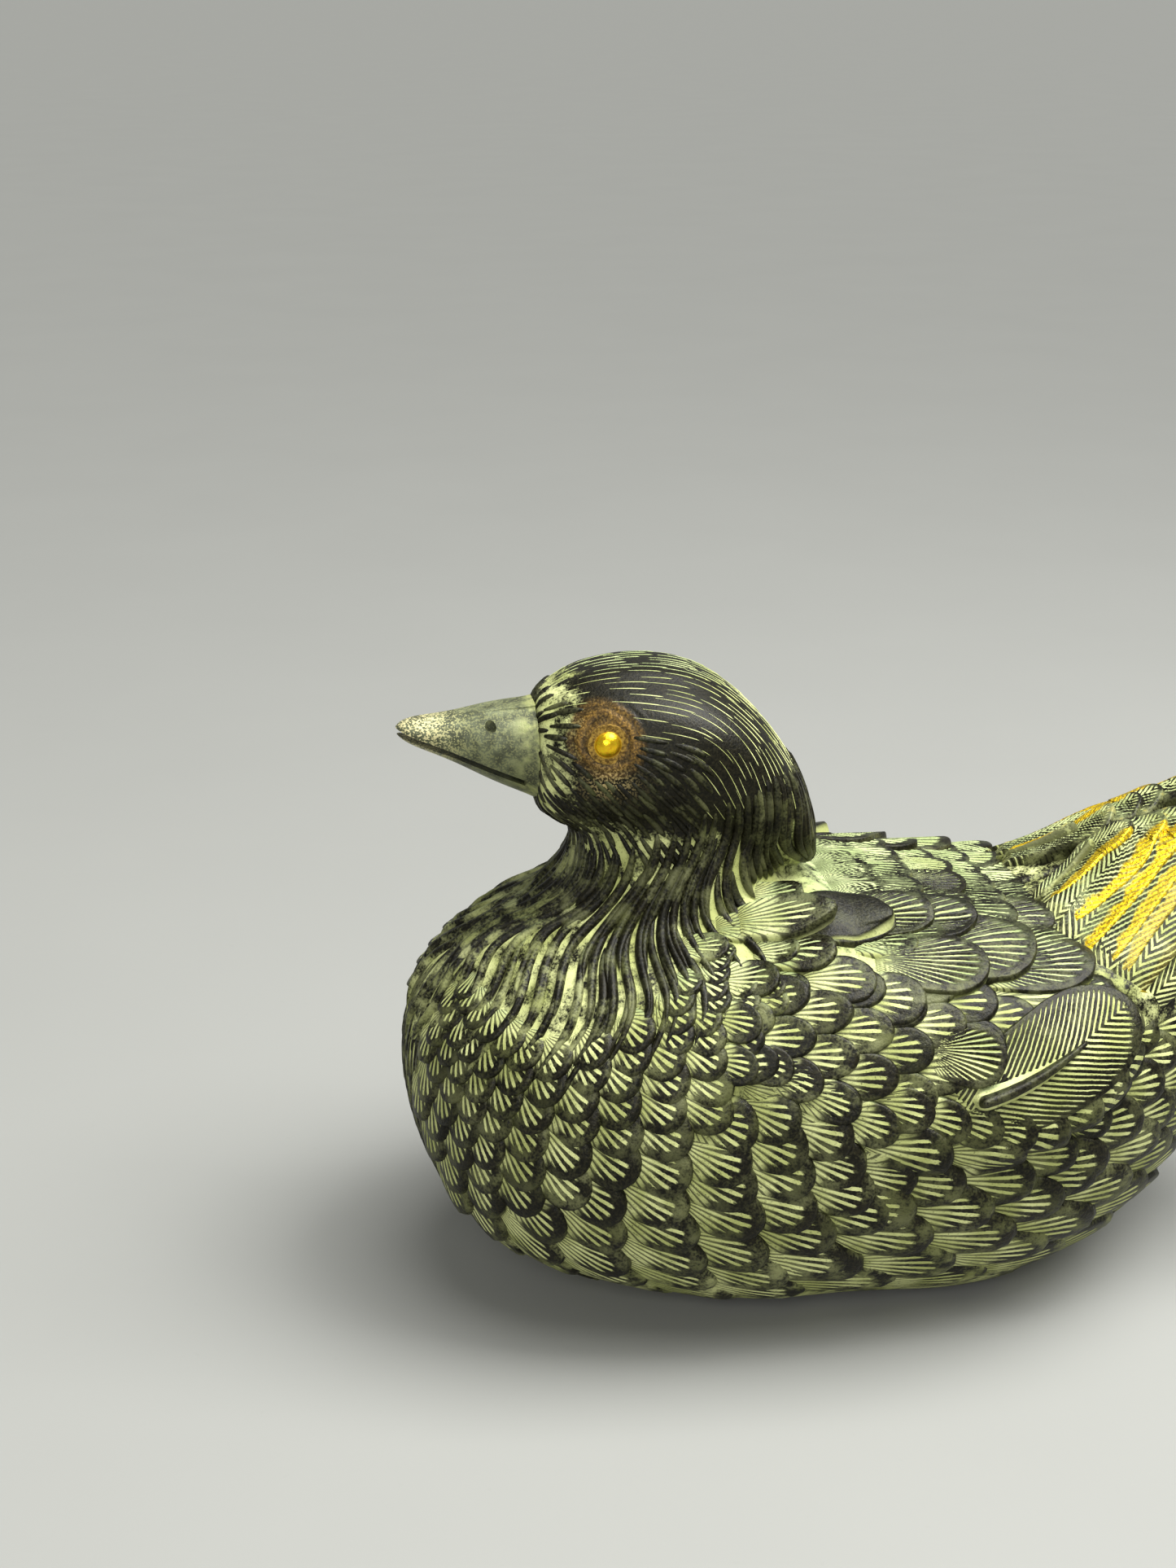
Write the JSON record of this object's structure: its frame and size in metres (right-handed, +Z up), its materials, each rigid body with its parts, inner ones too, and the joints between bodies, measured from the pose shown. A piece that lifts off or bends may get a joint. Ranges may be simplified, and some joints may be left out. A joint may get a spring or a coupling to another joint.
{
  "type": "bronze mandarin duck figure",
  "caption": "Hollow-cast bronze mandarin duck at rest with folded wings, raised gilt primaries and a fanned tail, assembled from fitted castings on a flat base plate.",
  "frame": {"origin": "under the middle of the whole figure, on the underside of the base plate", "axes": "+X runs from the bill to the tail, +Y to the bird's right side, +Z up"},
  "size_m": [0.135, 0.0688, 0.088],
  "materials": {
    "patinated_bronze": "cast bronze, dark brown on the high places, pale yellow-green powdery verdigris in the recesses",
    "dark_bronze": "cast bronze, rubbed near-black brown with pale green in the engraved lines",
    "gilt_bronze": "cast bronze with worn yellow-gold paint over green patina",
    "pin_brass": "plain drawn brass"
  },
  "bodies": {
    "root": {"body_shell": "patinated_bronze", "head_neck": "dark_bronze", "neck_pin": "pin_brass", "bill": "dark_bronze", "left_eye": "gilt_bronze", "right_eye": "gilt_bronze", "left_wing": "patinated_bronze", "right_wing": "patinated_bronze", "left_primaries": "gilt_bronze", "right_primaries": "gilt_bronze", "hold_pins": "pin_brass", "tail_fan": "dark_bronze", "tail_pin": "pin_brass", "base_plate": "patinated_bronze", "base_screws": "pin_brass"}
  },
  "joints": []
}
